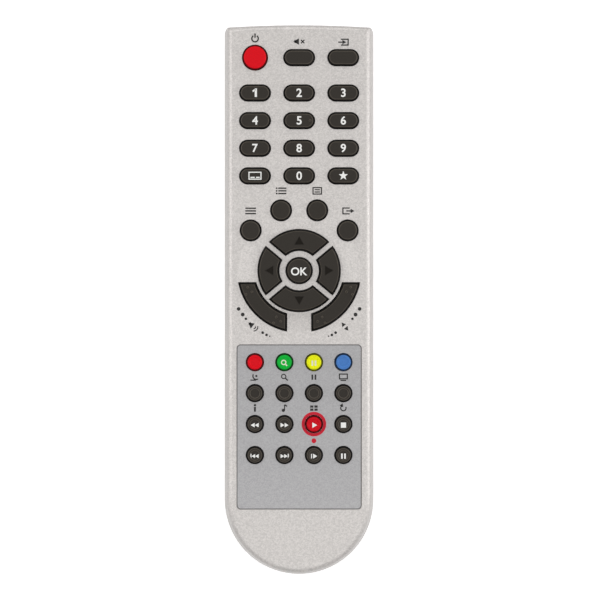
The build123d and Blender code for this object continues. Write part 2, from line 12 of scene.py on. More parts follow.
import bmesh
import bpy
from mathutils import Matrix, Vector


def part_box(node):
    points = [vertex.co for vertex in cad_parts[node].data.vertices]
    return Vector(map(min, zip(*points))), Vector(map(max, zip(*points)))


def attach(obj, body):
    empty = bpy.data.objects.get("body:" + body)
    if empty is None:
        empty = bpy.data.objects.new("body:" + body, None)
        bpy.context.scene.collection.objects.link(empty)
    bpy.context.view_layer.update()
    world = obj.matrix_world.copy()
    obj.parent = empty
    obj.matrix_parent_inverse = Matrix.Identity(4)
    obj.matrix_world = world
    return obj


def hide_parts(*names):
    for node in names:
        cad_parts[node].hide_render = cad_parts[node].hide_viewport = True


MM = 0.001
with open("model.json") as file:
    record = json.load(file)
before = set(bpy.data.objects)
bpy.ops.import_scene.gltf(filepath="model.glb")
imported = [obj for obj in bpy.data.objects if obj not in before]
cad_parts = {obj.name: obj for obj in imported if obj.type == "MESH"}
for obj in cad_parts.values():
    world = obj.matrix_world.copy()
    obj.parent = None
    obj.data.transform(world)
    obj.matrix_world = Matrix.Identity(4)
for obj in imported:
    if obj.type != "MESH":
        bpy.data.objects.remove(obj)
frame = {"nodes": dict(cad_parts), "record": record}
nodes = frame["nodes"]
show = bpy.context.scene.collection.objects.link
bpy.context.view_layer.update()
face_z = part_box("top_housing")[1].z
print("loaded", len(nodes), "nodes; key face at", round(face_z / MM, 2), "mm")

# %% [markdown]
# ## The camera
# The handset lies on its back and is seen straight from above. A long lens far away keeps
# its sides nearly out of sight. The lens follows from the width of the view and the
# distance, so that both stay real sizes.

# %% Camera
VIEW_WIDTH = 212.2 * MM  # width of the view, measured on the key face
CAMERA_HEIGHT = 1000 * MM  # above the key face
CAMERA_ASIDE = -4 * MM  # a little to the left of the middle
aim = Vector((0.3 * MM, 0.15 * MM, face_z))

lens = bpy.data.cameras.new("camera")
lens.sensor_width = 36.0
lens.lens = lens.sensor_width * CAMERA_HEIGHT / VIEW_WIDTH
camera = bpy.data.objects.new("camera", lens)
camera.location = aim + Vector((CAMERA_ASIDE, 0, CAMERA_HEIGHT))
camera.rotation_euler = (0, atan2(CAMERA_ASIDE, CAMERA_HEIGHT), 0)
show(camera)
bpy.context.scene.camera = camera
print("lens", round(lens.lens, 1), "mm")

# %% [markdown]
# ## The studio
# Silver paint shows its form through what it mirrors. A panel high on each side lights the
# face evenly and makes the slopes of the dish brighter than the flat face between them.
# A lower panel on each side does the same for the rounded edges. A weak panel at the near
# end lifts the lower half of the plate, and one past the front end lights the edges that
# face it. The room itself adds a plain, dimmer fill, and looks white only to the camera
# and to mirror-like rays.

# %% Lights
handset_middle = Vector((0, 0, 0.02))
softboxes = {  # place, width and length in metres, then power in watts
    "high_left": ((-0.7, 0.1, 1.1), 0.3, 0.9, 3.3),
    "high_right": ((0.7, 0.1, 1.1), 0.3, 0.9, 3.0),
    "low_left": ((-1.15, 0, 0.55), 0.25, 1.2, 2.1),
    "low_right": ((1.25, 0, 0.32), 0.25, 1.2, 5.4),
    "near_panel": ((0, -0.42, 1.2), 0.6, 0.3, 1.2),
    "far_panel": ((0, 1.0, 0.8), 0.6, 0.3, 2.0),
}


def softbox(name, place, width, length, power):
    """A rectangular light panel at place, facing the handset."""
    panel = bpy.data.lights.new(name, "AREA")
    panel.shape = "RECTANGLE"
    panel.size = width
    panel.size_y = length
    panel.energy = power
    lamp = bpy.data.objects.new(name, panel)
    lamp.location = place
    lamp.rotation_euler = (handset_middle - Vector(place)).to_track_quat("-Z", "Y").to_euler()
    show(lamp)


for name, settings in softboxes.items():
    softbox(name, *settings)
print("made", len(softboxes), "light panels")

# %% Room
FILL = 0.3  # strength of the room where it lights surfaces


def add_node(tree, kind, inputs=(), **settings):
    """A shader node with its settings, and its input sockets set or wired by name."""
    made = tree.nodes.new("ShaderNode" + kind)
    for name, value in settings.items():
        setattr(made, name, value)
    for name, value in dict(inputs).items():
        if isinstance(value, bpy.types.NodeSocket):
            tree.links.new(value, made.inputs[name])
        else:
            made.inputs[name].default_value = value
    return made


def reckon(tree, operation, *values, **settings):
    """One sum, product or other step of arithmetic on values or sockets."""
    return add_node(
        tree, "Math", dict(enumerate(values)), operation=operation, **settings
    ).outputs[0]


def seen_directly(tree):
    """1 for camera, mirror and see-through rays, 0 for the rays that light surfaces."""
    rays = add_node(tree, "LightPath").outputs
    total = reckon(tree, "ADD", rays["Is Camera Ray"], rays["Is Glossy Ray"])
    return reckon(tree, "ADD", total, rays["Is Transmission Ray"], use_clamp=True)


room = bpy.data.worlds.new("room")
room.use_nodes = True
bpy.context.scene.world = room
tree = room.node_tree
strength = add_node(tree, "MapRange", {"Value": seen_directly(tree), "To Min": FILL, "To Max": 1.0})
background = tree.nodes["Background"]
background.inputs["Color"].default_value = (1, 1, 1, 1)
tree.links.new(strength.outputs[0], background.inputs["Strength"])

bpy.context.scene.view_settings.view_transform = "Standard"
print("the room lights at", FILL, "of white")

# %% [markdown]
# ## The table
# A large flat white sheet is enough, because the view from above never reaches its edge.
# It is an ordinary matt surface, so the handset throws its soft shadow on it. A little
# light of its own, which only the camera and mirrors see, keeps the rest of it white.

# %% Table
TABLE_HALF = 1.5
TABLE_GLOW = 0.55  # own light, for the camera and mirrors only

table_mesh = bmesh.new()
bmesh.ops.create_grid(table_mesh, x_segments=2, y_segments=2, size=TABLE_HALF)
mesh = bpy.data.meshes.new("table")
table_mesh.to_mesh(mesh)
table_mesh.free()
table = bpy.data.objects.new("table", mesh)
show(table)

table_white = bpy.data.materials.new("table_white")
table_white.use_nodes = True
tree = table_white.node_tree
matt = tree.nodes["Principled BSDF"]
matt.inputs["Base Color"].default_value = (0.86, 0.86, 0.86, 1)
matt.inputs["Roughness"].default_value = 0.9
matt.inputs["Specular IOR Level"].default_value = 0.1
matt.inputs["Emission Color"].default_value = (1, 1, 1, 1)
glow = add_node(tree, "MapRange", {"Value": seen_directly(tree), "To Max": TABLE_GLOW})
tree.links.new(glow.outputs[0], matt.inputs["Emission Strength"])
mesh.materials.append(table_white)
print("the table is", 2 * TABLE_HALF, "m wide")

# %% [markdown]
# ## Finishes
# Every finish starts from one surface shader. Three small helpers give it what real
# moulded parts have: a colour that wanders a little, a fine relief, and a gloss that is
# not the same everywhere. Patterns read object coordinates, so they stay on their part
# when it moves.

# %% Helpers for finishes
def srgb(red, green, blue):
    """A colour given in screen values from 0 to 255, as the linear one that shaders use."""
    linear = []
    for value in (red, green, blue):
        value /= 255
        linear.append(value / 12.92 if value <= 0.04045 else ((value + 0.055) / 1.055) ** 2.4)
    return (*linear, 1.0)


def new_finish(name, colour, roughness, metallic=0.0, specular=0.5):
    """A material with one surface shader; gives the material, its tree and the shader."""
    material = bpy.data.materials.new(name)
    material.use_nodes = True
    shader = material.node_tree.nodes["Principled BSDF"]
    values = {
        "Base Color": colour, "Roughness": roughness, "Metallic": metallic,
        "Specular IOR Level": specular,
    }
    for socket, value in values.items():
        shader.inputs[socket].default_value = value
    return material, material.node_tree, shader


def object_place(tree):
    """The point on the part, in its own coordinates."""
    return add_node(tree, "TexCoord").outputs["Object"]


def apart(tree, vector):
    """The X, Y and Z of a vector."""
    return add_node(tree, "SeparateXYZ", {"Vector": vector}).outputs


def ramp(tree, value, start, end, low=0.0, high=1.0):
    """Goes smoothly from low to high as value goes from start to end."""
    made = add_node(
        tree, "MapRange",
        {"Value": value, "From Min": start, "From Max": end, "To Min": low, "To Max": high},
        interpolation_type="SMOOTHSTEP",
    )
    return made.outputs[0]


def facing_up(tree):
    """1 where the surface faces up, 0 where it is upright, -1 where it faces down."""
    return apart(tree, add_node(tree, "TexCoord").outputs["Normal"])["Z"]


print("mid grey on a screen is", round(srgb(128, 128, 128)[0], 3), "of white in linear light")

# %% Helpers for patterns and relief
def noise(tree, size, detail=2.0):
    """Soft random values from 0 to 1 whose blobs are about size across."""
    made = add_node(
        tree, "TexNoise", {"Vector": object_place(tree), "Scale": 1 / size, "Detail": detail}
    )
    return made.outputs["Fac"]


def vary_colour(tree, shader, value, low, high, colour=None):
    """Multiplies the colour by low to high as value goes from 0 to 1."""
    spread = add_node(tree, "MapRange", {"Value": value, "To Min": low, "To Max": high})
    source = colour or tuple(shader.inputs["Base Color"].default_value)[:3]
    inputs = {0: source, 1: spread.outputs[0]}
    scaled = add_node(tree, "VectorMath", inputs, operation="MULTIPLY")
    tree.links.new(scaled.outputs[0], shader.inputs["Base Color"])
    return scaled.outputs[0]


def vary_roughness(tree, shader, value, low, high):
    """Roughness from low to high as value goes from 0 to 1."""
    spread = add_node(tree, "MapRange", {"Value": value, "To Min": low, "To Max": high})
    tree.links.new(spread.outputs[0], shader.inputs["Roughness"])
    return spread.outputs[0]


def relief(tree, shader, value, depth, strength=1.0, under=None):
    """A fine relief, depth high, laid over the relief under it."""
    inputs = {"Height": value, "Distance": depth, "Strength": strength}
    if under:
        inputs["Normal"] = under
    bump = add_node(tree, "Bump", inputs)
    tree.links.new(bump.outputs["Normal"], shader.inputs["Normal"])
    return bump.outputs["Normal"]


def mix_colour(tree, share, colour, other):
    """Goes from one colour to the other as share goes from 0 to 1."""
    inputs = {"Factor": share, "A": colour, "B": other}
    return add_node(tree, "Mix", inputs, data_type="VECTOR").outputs["Result"]


def dress(finish, *names):
    """Gives a finish to parts of the frame."""
    for name in names:
        nodes[name].material_slots[0].material = finish


def soft_edges(tree, radius):
    """The surface direction with every sharp edge eased by radius."""
    return add_node(tree, "Bevel", {"Radius": radius}, samples=6).outputs["Normal"]


def flakes(tree, size):
    """A random value from 0 to 1 for each of many small cells, size across."""
    cells = add_node(tree, "TexVoronoi", {"Vector": object_place(tree), "Scale": 1 / size})
    return add_node(tree, "SeparateColor", {"Color": cells.outputs["Color"]}).outputs[0]


print("a blob 1 mm across needs a noise scale of", round(1 / MM))

# %% [markdown]
# ## Silver paint
# The housing is moulded in grey plastic and sprayed with a paint full of aluminium
# flakes. Each flake lies at its own small angle, so up close the surface is a fine
# speckle. A cell pattern gives each flake its own brightness, and a relief of the same
# size tilts it. The paint is only partly metallic: most of its light is scattered.
#
# The spray reaches the outside only. Inside, the dark plastic stays bare. On the walls of
# the openings the same dark colour is bare plastic and painted shade for the gap, which
# makes the dark line round each key. Two materials would need a housing whose faces are
# sorted, and this one stays as it is loaded. So a mask in the shader finds these places,
# by how far they lie inside the body's outline, their height, and their slope. The shallow
# walls round the plate are painted, so the mask leaves them out. The joint between the two
# halves is tight; a fine line of painted shade along the sides stands for its shadow.

# %% Distance from the plate
PLATE_CORNER = 1.3 * MM

plate_low, plate_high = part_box("inlay_plate")


def past_plate(tree):
    """How far a point lies outside the plate's rounded outline, seen from above."""
    place = apart(tree, object_place(tree))
    past = {}
    for axis, start, end in zip("XY", plate_low, plate_high):
        off = reckon(tree, "ABSOLUTE", reckon(tree, "SUBTRACT", place[axis], (start + end) / 2))
        past[axis] = reckon(tree, "SUBTRACT", off, (end - start) / 2 - PLATE_CORNER)
    beyond = {axis: reckon(tree, "MAXIMUM", value, 0.0) for axis, value in past.items()}
    around = add_node(tree, "CombineXYZ", beyond).outputs[0]
    outside = add_node(tree, "VectorMath", {0: around}, operation="LENGTH").outputs["Value"]
    inside = reckon(tree, "MINIMUM", reckon(tree, "MAXIMUM", past["X"], past["Y"]), 0.0)
    return reckon(tree, "SUBTRACT", reckon(tree, "ADD", outside, inside), PLATE_CORNER)


print("the plate is", round((plate_high.x - plate_low.x) / MM, 1), "mm wide")

# %% Where the paint stops
BARE_INSET = 2.2 * MM  # bare surfaces lie at least this far inside the outline
FRONT_INSET = 3.2 * MM  # and this far behind the crown of the front end
BACK_RADIUS = 8.0 * MM  # the outline draws in along the round lower edges
SKIN = 1.1 * MM  # depth to which the spray reaches into dishes and recesses
STEEP = 0.5  # walls face up or down less than this
PLATE_WALL = 0.3 * MM  # the walls round the plate lie this near its edge

body_low, body_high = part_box("top_housing")
half_width = (body_high.x - body_low.x) / 2
rear_centre = body_low.y + half_width  # middle of the rounded end


def inside_outline(tree, place):
    """1 well inside the body's outline, which depends on the height."""
    beyond = reckon(tree, "MINIMUM", reckon(tree, "SUBTRACT", place["Y"], rear_centre), 0.0)
    around = add_node(tree, "CombineXYZ", {"X": place["X"], "Y": beyond}).outputs[0]
    reach = add_node(tree, "VectorMath", {0: around}, operation="LENGTH").outputs["Value"]
    below = reckon(tree, "MAXIMUM", reckon(tree, "SUBTRACT", BACK_RADIUS, place["Z"]), 0.0)
    left_over = reckon(tree, "SUBTRACT", BACK_RADIUS ** 2, reckon(tree, "POWER", below, 2.0))
    outline = reckon(
        tree, "ADD", reckon(tree, "SQRT", left_over), half_width - BACK_RADIUS - BARE_INSET
    )
    inside = reckon(tree, "LESS_THAN", reach, outline)
    behind_front = reckon(tree, "LESS_THAN", place["Y"], body_high.y - FRONT_INSET)
    return reckon(tree, "MULTIPLY", inside, behind_front)


def bare_and_gap_shade_mask(tree):
    """1 on the bare plastic inside the housing and, as painted shade, on the walls of its openings;
    0 on the paint.
    """
    place = apart(tree, object_place(tree))
    upright = reckon(tree, "LESS_THAN", reckon(tree, "ABSOLUTE", facing_up(tree)), STEEP)
    near_face = reckon(tree, "GREATER_THAN", place["Z"], face_z - SKIN)
    deep = reckon(
        tree, "MULTIPLY", reckon(tree, "GREATER_THAN", place["Z"], SKIN),
        reckon(tree, "LESS_THAN", place["Z"], face_z - SKIN),
    )
    by_plate = reckon(tree, "COMPARE", past_plate(tree), 0.0, PLATE_WALL)
    upright = reckon(tree, "MULTIPLY", upright, reckon(tree, "SUBTRACT", 1.0, by_plate))
    hidden = reckon(tree, "MAXIMUM", deep, reckon(tree, "MULTIPLY", upright, near_face))
    return reckon(tree, "MULTIPLY", inside_outline(tree, place), hidden)


print("the rounded end starts at", round(rear_centre / MM, 1), "mm")

# %% Silver paint
PAINT_METAL = 0.45  # share of the light that the flakes mirror
FLAKE = 0.38 * MM
SPECKLE = 0.13  # how much one flake differs from the next
CLOUD = 14 * MM  # the spray is a little uneven over this distance
SEAM_DROP = 6.0 * MM  # the two halves meet this far below the key face
SEAM_CORE = 0.06 * MM  # the joint is darkest within this of its middle
SEAM_EDGE = 0.18 * MM  # and ends here
SEAM_SHADE = 0.3
# bare plastic inside, and painted shade on the walls of the openings
dark_plastic_and_gap_shade = srgb(40, 39, 40)


def seam_shade(tree):
    """Painted shade: darkens a fine line where the two halves meet, for the shadow in the joint."""
    height = apart(tree, object_place(tree))["Z"]
    from_seam = reckon(tree, "ABSOLUTE", reckon(tree, "SUBTRACT", height, face_z - SEAM_DROP))
    return ramp(tree, from_seam, SEAM_CORE, SEAM_EDGE)


def silver_paint(name, colour):
    """Metallic spray paint, with bare plastic where the spray doesn't reach, and painted shade in
    the openings and along the joint.
    """
    material, tree, shader = new_finish(name, colour, roughness=0.42)
    painted = vary_colour(tree, shader, flakes(tree, FLAKE), 1 - SPECKLE, 1 + SPECKLE)
    painted = vary_colour(tree, shader, noise(tree, CLOUD), 0.985, 1.015, colour=painted)
    # painted shade along the joint of the two halves
    painted = vary_colour(tree, shader, seam_shade(tree), SEAM_SHADE, 1, colour=painted)
    # bare plastic inside; on the walls of the openings this dark colour is painted shade for the
    # gap
    bare = bare_and_gap_shade_mask(tree)
    covered = mix_colour(tree, bare, painted, dark_plastic_and_gap_shade[:3])
    tree.links.new(covered, shader.inputs["Base Color"])
    tree.links.new(ramp(tree, bare, 0, 1, PAINT_METAL, 0), shader.inputs["Metallic"])
    vary_roughness(tree, shader, noise(tree, 3 * MM), 0.38, 0.48)
    eased = soft_edges(tree, 0.12 * MM)
    relief(tree, shader, noise(tree, 0.9 * FLAKE, detail=1.0), 0.008 * MM, under=eased)
    return material


case_silver = silver_paint("case_silver", srgb(188, 184, 181))
dress(case_silver, "top_housing", "bottom_housing", "battery_cover")
print("painted the two halves and the cover")

# %% [markdown]
# ## The plate in the key face
# A thin plate of cooler grey lies in a shallow recess under the lower keys. It is
# lacquered smooth: the flakes are finer than the housing's and the gloss is higher. Its
# edge is darkened with painted shade, for the shadow in the gap round it. The plate is
# one fixed piece, so the shade isn't a second material: the shader works out how far a
# point lies from the rounded outline.

# %% Plate lacquer
PLATE_SHADE_START = 0.3 * MM  # painted shade along the plate's edge starts this far in
PLATE_SHADE_END = 0.1 * MM
EDGE_SHADE = 0.35

plate_grey, tree, shader = new_finish("plate_grey", srgb(156, 155, 156), 0.3, metallic=0.6)
# painted shade darkens the plate along its edge
shade = ramp(tree, past_plate(tree), -PLATE_SHADE_START, -PLATE_SHADE_END, 1, EDGE_SHADE)
lacquer = vary_colour(tree, shader, shade, 0, 1)
vary_colour(tree, shader, flakes(tree, 0.34 * MM), 0.9, 1.1, colour=lacquer)
eased = soft_edges(tree, 0.1 * MM)
relief(tree, shader, noise(tree, 0.2 * MM, detail=1.0), 0.003 * MM, under=eased)
dress(plate_grey, "inlay_plate")
print("the plate darkens over its last", round(PLATE_SHADE_START / MM, 1), "mm")

# %% [markdown]
# ## Rubber
# The keys are silicone rubber with a thin matt coating on top. Its relief is finer than a
# hair, and its gloss wanders where fingers have polished it. The sides are rougher. Their
# colour carries painted light: a painted highlight along the rim, and painted shade on the
# sides, which look almost black. The direction that the surface faces tells rim and side
# from the top.

# %% Rubber
PAINTED_SIDE_SHADE = 0.15  # painted shade on the side of a key, against its top
SIDE_DULLNESS = 0.4  # and how much rougher the side is
PAINTED_RIM_HIGHLIGHT = 2.8  # painted highlight on the rim of a dark key, against its top
COLOUR_KEY_RIM_HIGHLIGHT = 1.1  # a bright key gets only a faint painted highlight on its rim
SIDE_FACING = (0.36, 0.5)  # how far up a surface faces where the side turns into the rim
TOP_FACING = (0.93, 0.985)  # and where the rim turns into the top


def rubber(name, colour, roughness=0.5, rim_highlight=PAINTED_RIM_HIGHLIGHT):
    """Silicone rubber with a coated top, a painted highlight on the rim and painted shade on the
    sides.
    """
    material, tree, shader = new_finish(name, colour, roughness, specular=0.15)
    facing = facing_up(tree)
    # painted light: the sides get painted shade and the rim a painted highlight, by the way the
    # surface faces
    side_to_rim = ramp(tree, facing, *SIDE_FACING, PAINTED_SIDE_SHADE / rim_highlight, 1)
    rim_to_top = ramp(tree, facing, *TOP_FACING, 0, 1 - 1 / rim_highlight)
    painted_rim_and_side_light = reckon(tree, "SUBTRACT", side_to_rim, rim_to_top)
    coat = vary_colour(tree, shader, painted_rim_and_side_light, 0, rim_highlight)
    vary_colour(tree, shader, noise(tree, 0.35 * MM, detail=1.0), 0.85, 1.15, colour=coat)
    polish = noise(tree, 1.6 * MM)
    gloss = vary_roughness(tree, shader, polish, roughness - 0.06, roughness + 0.06)
    duller = reckon(tree, "ADD", gloss, ramp(tree, facing, *SIDE_FACING, SIDE_DULLNESS, 0))
    tree.links.new(duller, shader.inputs["Roughness"])
    relief(tree, shader, noise(tree, 0.16 * MM, detail=1.0), 0.004 * MM)
    return material


rubber_colours = {
    "red": srgb(224, 0, 22),
    "green": srgb(0, 178, 54),
    "yellow": srgb(238, 242, 12),
    "blue": srgb(74, 126, 196),
    "deep_red": srgb(206, 0, 24),
}
rubbers = {"dark_rubber": rubber("key_dark", srgb(46, 42, 37))}
for name, colour in rubber_colours.items():
    rubbers[name + "_rubber"] = rubber("key_" + name, colour, rim_highlight=COLOUR_KEY_RIM_HIGHLIGHT)
dress(rubbers["dark_rubber"], "keypad_sheet")
print("mixed", len(rubbers), "rubbers")

# %% [markdown]
# ## The infrared window
# The window in the front end is a deep red plastic that looks nearly black but lets
# infrared light through. It is polished, so it gets a low roughness and some transmission,
# and only the faintest relief.

# %% Infrared window
window_red, tree, shader = new_finish("window_red", srgb(70, 8, 14), 0.12, specular=0.6)
shader.inputs["Transmission Weight"].default_value = 0.35
shader.inputs["IOR"].default_value = 1.49
vary_colour(tree, shader, noise(tree, 2 * MM), 0.92, 1.08)
relief(tree, shader, noise(tree, 1.2 * MM), 0.002 * MM, under=soft_edges(tree, 0.15 * MM))
dress(window_red, "ir_window")
print("glazed the front end")

# %% [markdown]
# ## What lies inside
# Two cells, their springs and plates show once the cover slides off. The cells wear a
# plain dark sleeve with bare metal at both ends and a copper-coloured band at the end
# with the raised contact. Each cell is one fixed piece, so its finish tells sleeve, band
# and metal by how far a point is along the cell.

# %% Finishes of the inner parts
def metal(name, colour, roughness, brushed):
    """Plated steel, with fine scratches of the size brushed."""
    material, tree, shader = new_finish(name, colour, roughness, metallic=1.0)
    vary_roughness(tree, shader, noise(tree, brushed), roughness - 0.08, roughness + 0.1)
    relief(tree, shader, noise(tree, brushed), 0.003 * MM, under=soft_edges(tree, 0.08 * MM))
    return material


def moulded(name, colour, roughness=0.45, grain=0.5 * MM):
    """Plain moulded plastic, resin or laminate."""
    material, tree, shader = new_finish(name, colour, roughness)
    vary_colour(tree, shader, noise(tree, grain), 0.93, 1.07)
    relief(tree, shader, noise(tree, grain), 0.006 * MM, under=soft_edges(tree, 0.1 * MM))
    return material


nickel = metal("nickel_plate", srgb(206, 200, 190), 0.28, 0.3 * MM)
inner_finishes = {
    "negative_springs": nickel,
    "contact_plates": nickel,
    "case_screw": metal("zinc_plate", srgb(172, 174, 176), 0.34, 0.2 * MM),
    "circuit_board": moulded("laminate_green", srgb(60, 104, 58)),
    "infrared_led": moulded("clear_epoxy", srgb(150, 160, 190), 0.1, 3 * MM),
    "control_chip": moulded("black_epoxy", srgb(30, 30, 32)),
    "driver_transistor": moulded("black_resin", srgb(34, 33, 32)),
    "resistors": moulded("resistor_black", srgb(26, 26, 28), 0.3),
    "ceramic_resonator": moulded("blue_ceramic", srgb(60, 92, 150), 0.3),
    "smoothing_capacitor": moulded("shrink_sleeve", srgb(38, 38, 52), 0.25),
}
for name, finish in inner_finishes.items():
    dress(finish, name)
print("finished", len(inner_finishes), "inner parts")

# %% Finish of the cells
SLEEVE_INSET = 0.8 * MM  # bare metal at each end of a cell's can
CONTACT = 1.2 * MM  # the raised contact
BAND = 9 * MM  # the coloured band at the end with the contact
copper_band = srgb(190, 122, 70)
bare_steel = srgb(206, 202, 196)


def cell_sleeve(name, contact_at_front):
    """A cell's sleeve, its band and its bare ends, told apart by the place along Y."""
    low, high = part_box(name)
    start, end, sign = (high.y, low.y, -1) if contact_at_front else (low.y, high.y, 1)
    material, tree, shader = new_finish(name + "_sleeve", srgb(50, 54, 60), 0.3)
    along = reckon(tree, "SUBTRACT", apart(tree, object_place(tree))["Y"], start)
    along = reckon(tree, "MULTIPLY", along, sign)
    band = reckon(tree, "LESS_THAN", along, BAND)
    ends = reckon(
        tree, "MAXIMUM", reckon(tree, "LESS_THAN", along, CONTACT + SLEEVE_INSET),
        reckon(tree, "GREATER_THAN", along, abs(end - start) - SLEEVE_INSET),
    )
    colour = shader.inputs["Base Color"].default_value[:3]
    for mask, other in ((band, copper_band), (ends, bare_steel)):
        colour = mix_colour(tree, mask, colour, other[:3])
    vary_colour(tree, shader, noise(tree, 4 * MM), 0.95, 1.05, colour=colour)
    tree.links.new(ends, shader.inputs["Metallic"])
    relief(tree, shader, noise(tree, 0.4 * MM), 0.003 * MM, under=soft_edges(tree, 0.15 * MM))
    dress(material, name)


cell_sleeve("battery_cell_left", contact_at_front=True)
cell_sleeve("battery_cell_right", contact_at_front=False)
print("wrapped two cells; each sleeve has a band of", round(BAND / MM, 1), "mm")

# %% [markdown]
# ## Rebuilding the keys
# The frame's keys have the true outlines but plain chamfers. Real rubber keys leave the
# mould with leaning sides and round rims. Each visible key is therefore made again:
# straight up to the key face, leaning in above it, with its upper rim rounded. The hidden
# flange under the face goes with it.

# %% Helpers for meshes
CHAMFER_ANGLE = radians(35)  # edges bent more than this stay sharp
FLAT = 0.9999  # level faces keep their own direction, so they look level


def add_piece(name, shape, material, body):
    """Turns a finished bmesh into a piece that rides on a body of the frame."""
    bmesh.ops.recalc_face_normals(shape, faces=shape.faces[:])
    for face in shape.faces:
        face.smooth = abs(face.normal.z) < FLAT
    for edge in shape.edges:
        if len(edge.link_faces) == 2 and edge.calc_face_angle() > CHAMFER_ANGLE:
            edge.smooth = False
    data = bpy.data.meshes.new(name)
    shape.to_mesh(data)
    shape.free()
    data.materials.append(material)
    piece = bpy.data.objects.new(name, data)
    show(piece)
    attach(piece, body)
    return piece


def raised(shape, outline, bottom, top):
    """Lays the flat outline at bottom and raises it to top; gives the face on top."""
    vertices = list(dict.fromkeys(vertex for face in outline for vertex in face.verts))
    bmesh.ops.translate(shape, verts=vertices, vec=(0, 0, bottom))
    lifted = bmesh.ops.extrude_face_region(shape, geom=outline)["geom"]
    upper = [item for item in lifted if isinstance(item, bmesh.types.BMVert)]
    bmesh.ops.translate(shape, verts=upper, vec=(0, 0, top - bottom))
    return next(item for item in lifted if isinstance(item, bmesh.types.BMFace))


def taper(shape, top, lean, rise):
    """Goes on up from the top face, leaning in, and gives the new top."""
    bmesh.ops.inset_region(shape, faces=[top], thickness=lean, depth=rise, use_even_offset=True)
    return highest_face(shape)


def highest_face(shape):
    """The largest of the faces that lie highest."""
    return max(shape.faces, key=lambda f: (round(f.calc_center_median().z, 6), f.calc_area()))


def round_rim(shape, top, radius, segments=5):
    """Rounds the rim of the top face and gives the face that is left of it."""
    bmesh.ops.bevel(
        shape, geom=list(top.edges), offset=radius, offset_type="OFFSET", segments=segments,
        profile=0.5, affect="EDGES", material=-1,
    )
    return highest_face(shape)


def sink(shape, top, land, slope, depth):
    """Leaves a land inside the rim, then slopes down by depth to a flat floor."""
    bmesh.ops.inset_region(shape, faces=[top], thickness=land, use_even_offset=True)
    bmesh.ops.inset_region(shape, faces=[top], thickness=slope, depth=-depth, use_even_offset=True)
    return top


print("edges bent more than", round(degrees(CHAMFER_ANGLE)), "degrees stay sharp")

# %% [markdown]
# ## Two ways to the shape of a key
# Round and pill-shaped keys come from a circle, whose halves are moved apart for a pill,
# and the outline is raised. The direction keys and rockers are parts of rings: the ring's
# cross-section is spun half a turn about the OK key, and planes cut off both ends.
# Upright planes do it below the face, and leaning ones above.

# %% Outlines and ring blocks
ON_AXIS = 0.001  # nearer to the middle than this share, a point stays there
SPIN_STEPS = 96  # for half a turn


def unit(angle):
    """The level direction at an angle from +X."""
    return Vector((cos(angle), sin(angle), 0))


def round_outline(shape, centre, diameter, stretch=0.0, segments=64):
    """A disc, or a pill if its halves are moved apart along X by stretch."""
    ring = bmesh.ops.create_circle(shape, cap_ends=True, radius=diameter / 2, segments=segments)
    for side in (-1, 1):
        half = [v for v in ring["verts"] if side * v.co.x > diameter * ON_AXIS]
        bmesh.ops.translate(shape, verts=half, vec=(side * stretch / 2, 0, 0))
    bmesh.ops.translate(shape, verts=ring["verts"], vec=(centre.x, centre.y, 0))
    return list(dict.fromkeys(face for vertex in ring["verts"] for face in vertex.link_faces))


def half_ring(shape, centre, section, middle_angle):
    """Spins a section, given by radius and height, half a turn round centre."""
    start = unit(middle_angle - pi / 2)
    corners = [
        shape.verts.new(centre + start * radius + Vector((0, 0, height)))
        for radius, height in section
    ]
    face = shape.faces.new(corners)
    bmesh.ops.spin(
        shape, geom=[*corners, *face.edges, face], cent=centre, axis=(0, 0, 1), dvec=(0, 0, 0),
        angle=pi, steps=SPIN_STEPS, use_merge=False,
    )


def cut_off(shape, point, away):
    """Cuts off what lies beyond the plane through point, and closes the cut."""
    cut = bmesh.ops.bisect_plane(
        shape, geom=[*shape.verts, *shape.edges, *shape.faces], dist=1e-7, plane_co=point,
        plane_no=away.normalized(), clear_outer=True, clear_inner=False,
    )
    rim = [item for item in cut["geom_cut"] if isinstance(item, bmesh.types.BMEdge)]
    bmesh.ops.holes_fill(shape, edges=rim, sides=0)


print("half a ring takes", SPIN_STEPS, "steps")

# %% [markdown]
# ## Reading the sizes from the frame
# Nothing is measured twice: a key's place and outline come from the box of its node. The
# box also holds the flange, so the flange's overhang comes off.

# %% Sizes from the frame
OVERHANG = 0.7 * MM  # flange past the key, on round and pill-shaped keys
RING_OVERHANG = 0.25 * MM  # flange past the opening, on direction keys and rockers
SECTOR_GAP = 0.25 * MM  # from the opening to the direction key
ROCKER_GAP = 0.35 * MM
SPOKE_WIDTH = 1.7 * MM  # bars of the face between the direction keys
SPOKE_ANGLE = radians(40)
FLANGE_DROP = 2.3 * MM  # from the key face down to a key's flange
ROCKER_FLANGE_DROP = 3.3 * MM
LAP = 0.2 * MM  # keys reach this far into their flange

key_foot, key_top = (corner.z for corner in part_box("ok_key"))
flange_top = face_z - FLANGE_DROP
rocker_flange_top = face_z - ROCKER_FLANGE_DROP


def middle(node):
    """Centre of a node's box, seen from above."""
    low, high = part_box(node)
    return Vector(((low.x + high.x) / 2, (low.y + high.y) / 2, 0))


centre = middle("ok_key")
sector_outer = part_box("up_key")[1].y - centre.y - RING_OVERHANG
print("direction keys reach", round(sector_outer / MM, 2), "mm from the OK key")

# %% [markdown]
# ## Round and pill-shaped keys
# The large keys are flat on top. The small keys of the lower block are dished, so that a
# fingertip finds them: a narrow land runs round a shallow sunk floor. Cutting the dish out
# of a finished key would leave a ragged rim, and two insets of its top give a clean one.

# %% What all keys share
STUD = 0.55 * MM
STUD_FLATNESS = 0.6  # height of a stud against its radius

material_slots = {part["node"]: part["material_slot"] for part in frame["record"]["subparts"]}


